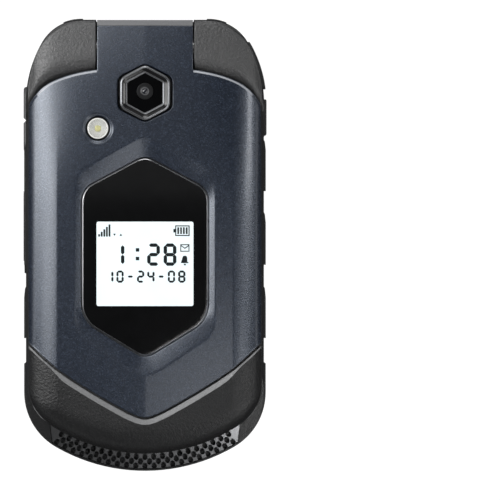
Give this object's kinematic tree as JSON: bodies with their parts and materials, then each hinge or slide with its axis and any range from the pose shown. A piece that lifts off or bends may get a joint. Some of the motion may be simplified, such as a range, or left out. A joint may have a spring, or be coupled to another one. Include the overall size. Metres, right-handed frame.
{
  "type": "folding mobile phone",
  "caption": "Rugged clamshell mobile phone, closed, with hinged lid, outer display, camera, keypad, side buttons, port covers and removable battery cover.",
  "frame": {"origin": "centre of the footprint on the plane of the back face, phone lying on its back with the lid closed", "axes": "+X across the width, +Y along the length towards the hinge end, +Z through the thickness towards the lid"},
  "size_m": [0.0624, 0.116, 0.0262],
  "materials": {
    "battery_wrap": "dark wrapped cell",
    "black_cap": "fine textured black",
    "black_glass": "glossy dark window",
    "blue_paint": "navy metallic flake paint, satin clear coat",
    "board_green": "solder-masked board with bright cans",
    "charcoal": "charcoal moulded grain",
    "display": "display module",
    "flex": "amber film",
    "grey_housing": "dark grey fine grain",
    "grille_metal": "dark satin perforated strip",
    "key_black": "satin black keycap",
    "lens": "clear moulded lens",
    "plated": "plated connector shell",
    "red": "red satin",
    "rubber_black": "soft black rubber",
    "silicone": "translucent silicone",
    "steel": "plain steel"
  },
  "bodies": {
    "base": {"rear_housing": "charcoal", "front_housing": "charcoal", "housing_seal": "rubber_black", "speaker_grille": "grille_metal", "loudspeakers": "black_cap", "keypad_membrane": "silicone", "main_board": "board_green", "battery": "battery_wrap", "card_holder": "plated", "vibration_motor": "steel", "usb_connector": "plated", "headset_jack": "black_cap", "side_switches": "black_cap", "ptt_ring": "red", "housing_screws": "steel", "hinge_module": "steel", "top_bumpers": "rubber_black"},
    "lid": {"lid_outer_cover": "blue_paint", "lid_end_cap": "black_cap", "lid_inner_housing": "grey_housing", "lid_chassis": "steel", "main_display": "display", "main_window": "black_glass", "sub_display": "display", "sub_window": "black_glass", "camera_bezel": "black_cap", "camera_module": "black_cap", "flash_lens": "lens", "earpiece": "black_cap", "lid_screws": "steel", "hinge_shaft": "steel", "hinge_pin": "steel", "lid_bumpers": "rubber_black", "flex_cable": "flex"},
    "battery_cover": {"battery_cover": "charcoal"},
    "cover_lock": {"cover_lock": "steel"},
    "volume_rocker": {"volume_rocker": "rubber_black"},
    "ptt_button": {"ptt_button": "rubber_black"},
    "usb_cover": {"usb_cover": "rubber_black"},
    "jack_cover": {"jack_cover": "rubber_black"},
    "nav_gimbal": {"nav_gimbal": "steel"},
    "nav_ring": {"nav_ring": "key_black"},
    "soft_key_left": {"soft_key_left": "key_black"},
    "soft_key_right": {"soft_key_right": "key_black"},
    "send_key": {"send_key": "key_black"},
    "clear_key": {"clear_key": "key_black"},
    "end_key": {"end_key": "key_black"},
    "ok_key": {"ok_key": "key_black"},
    "key_1": {"key_1": "key_black"},
    "key_2": {"key_2": "key_black"},
    "key_3": {"key_3": "key_black"},
    "key_4": {"key_4": "key_black"},
    "key_5": {"key_5": "key_black"},
    "key_6": {"key_6": "key_black"},
    "key_7": {"key_7": "key_black"},
    "key_8": {"key_8": "key_black"},
    "key_9": {"key_9": "key_black"},
    "key_star": {"key_star": "key_black"},
    "key_0": {"key_0": "key_black"},
    "key_hash": {"key_hash": "key_black"}
  },
  "joints": [
    {"name": "lid_hinge", "type": "hinge", "parent": "base", "child": "lid", "pos_m": [0, 0.05, 0.0158], "axis": [-1, 0, 0], "range_deg": [0, 160]},
    {"name": "battery_cover_slide", "type": "slide", "parent": "base", "child": "battery_cover", "axis": [0, 0, -1], "range_m": [0, 0.012]},
    {"name": "cover_lock_turn", "type": "hinge", "parent": "battery_cover", "child": "cover_lock", "pos_m": [0, -0.0402, 0.001], "axis": [0, 0, -1], "range_deg": [0, 90]},
    {"name": "volume_rocker_tilt", "type": "hinge", "parent": "base", "child": "volume_rocker", "pos_m": [-0.02805, 0.0323, 0.0088], "axis": [0, 0, 1], "range_deg": [-2.5, 2.5], "stiffness_Nm_per_rad": 0.07},
    {"name": "ptt_press", "type": "slide", "parent": "base", "child": "ptt_button", "axis": [1, 0, 0], "range_m": [0, 0.0005], "stiffness_N_per_m": 800, "springref_m": -0.0002},
    {"name": "usb_cover_hinge", "type": "hinge", "parent": "base", "child": "usb_cover", "pos_m": [0.03025, 0.02815, 0.0113], "axis": [0, 0, -1], "range_deg": [0, 100]},
    {"name": "jack_cover_hinge", "type": "hinge", "parent": "base", "child": "jack_cover", "pos_m": [0.02985, 0.0404, 0.01], "axis": [0, 0, -1], "range_deg": [0, 90]},
    {"name": "nav_tilt_up_down", "type": "hinge", "parent": "base", "child": "nav_gimbal", "pos_m": [0, 0.0202, 0.0146], "axis": [1, 0, 0], "range_deg": [-1, 1], "stiffness_Nm_per_rad": 0.12},
    {"name": "nav_tilt_left_right", "type": "hinge", "parent": "nav_gimbal", "child": "nav_ring", "pos_m": [0, 0.0202, 0.0146], "axis": [0, 1, 0], "range_deg": [-1, 1], "stiffness_Nm_per_rad": 0.12},
    {"name": "soft_key_left_press", "type": "slide", "parent": "base", "child": "soft_key_left", "axis": [0, 0, -1], "range_m": [0, 0.0004], "stiffness_N_per_m": 400, "springref_m": -0.0002},
    {"name": "soft_key_right_press", "type": "slide", "parent": "base", "child": "soft_key_right", "axis": [0, 0, -1], "range_m": [0, 0.0004], "stiffness_N_per_m": 400, "springref_m": -0.0002},
    {"name": "send_key_press", "type": "slide", "parent": "base", "child": "send_key", "axis": [0, 0, -1], "range_m": [0, 0.0004], "stiffness_N_per_m": 400, "springref_m": -0.0002},
    {"name": "clear_key_press", "type": "slide", "parent": "base", "child": "clear_key", "axis": [0, 0, -1], "range_m": [0, 0.0004], "stiffness_N_per_m": 400, "springref_m": -0.0002},
    {"name": "end_key_press", "type": "slide", "parent": "base", "child": "end_key", "axis": [0, 0, -1], "range_m": [0, 0.0004], "stiffness_N_per_m": 400, "springref_m": -0.0002},
    {"name": "ok_key_press", "type": "slide", "parent": "base", "child": "ok_key", "axis": [0, 0, -1], "range_m": [0, 0.0004], "stiffness_N_per_m": 400, "springref_m": -0.0002},
    {"name": "key_1_press", "type": "slide", "parent": "base", "child": "key_1", "axis": [0, 0, -1], "range_m": [0, 0.0004], "stiffness_N_per_m": 400, "springref_m": -0.0002},
    {"name": "key_2_press", "type": "slide", "parent": "base", "child": "key_2", "axis": [0, 0, -1], "range_m": [0, 0.0004], "stiffness_N_per_m": 400, "springref_m": -0.0002},
    {"name": "key_3_press", "type": "slide", "parent": "base", "child": "key_3", "axis": [0, 0, -1], "range_m": [0, 0.0004], "stiffness_N_per_m": 400, "springref_m": -0.0002},
    {"name": "key_4_press", "type": "slide", "parent": "base", "child": "key_4", "axis": [0, 0, -1], "range_m": [0, 0.0004], "stiffness_N_per_m": 400, "springref_m": -0.0002},
    {"name": "key_5_press", "type": "slide", "parent": "base", "child": "key_5", "axis": [0, 0, -1], "range_m": [0, 0.0004], "stiffness_N_per_m": 400, "springref_m": -0.0002},
    {"name": "key_6_press", "type": "slide", "parent": "base", "child": "key_6", "axis": [0, 0, -1], "range_m": [0, 0.0004], "stiffness_N_per_m": 400, "springref_m": -0.0002},
    {"name": "key_7_press", "type": "slide", "parent": "base", "child": "key_7", "axis": [0, 0, -1], "range_m": [0, 0.0004], "stiffness_N_per_m": 400, "springref_m": -0.0002},
    {"name": "key_8_press", "type": "slide", "parent": "base", "child": "key_8", "axis": [0, 0, -1], "range_m": [0, 0.0004], "stiffness_N_per_m": 400, "springref_m": -0.0002},
    {"name": "key_9_press", "type": "slide", "parent": "base", "child": "key_9", "axis": [0, 0, -1], "range_m": [0, 0.0004], "stiffness_N_per_m": 400, "springref_m": -0.0002},
    {"name": "key_star_press", "type": "slide", "parent": "base", "child": "key_star", "axis": [0, 0, -1], "range_m": [0, 0.0004], "stiffness_N_per_m": 400, "springref_m": -0.0002},
    {"name": "key_0_press", "type": "slide", "parent": "base", "child": "key_0", "axis": [0, 0, -1], "range_m": [0, 0.0004], "stiffness_N_per_m": 400, "springref_m": -0.0002},
    {"name": "key_hash_press", "type": "slide", "parent": "base", "child": "key_hash", "axis": [0, 0, -1], "range_m": [0, 0.0004], "stiffness_N_per_m": 400, "springref_m": -0.0002}
  ]
}
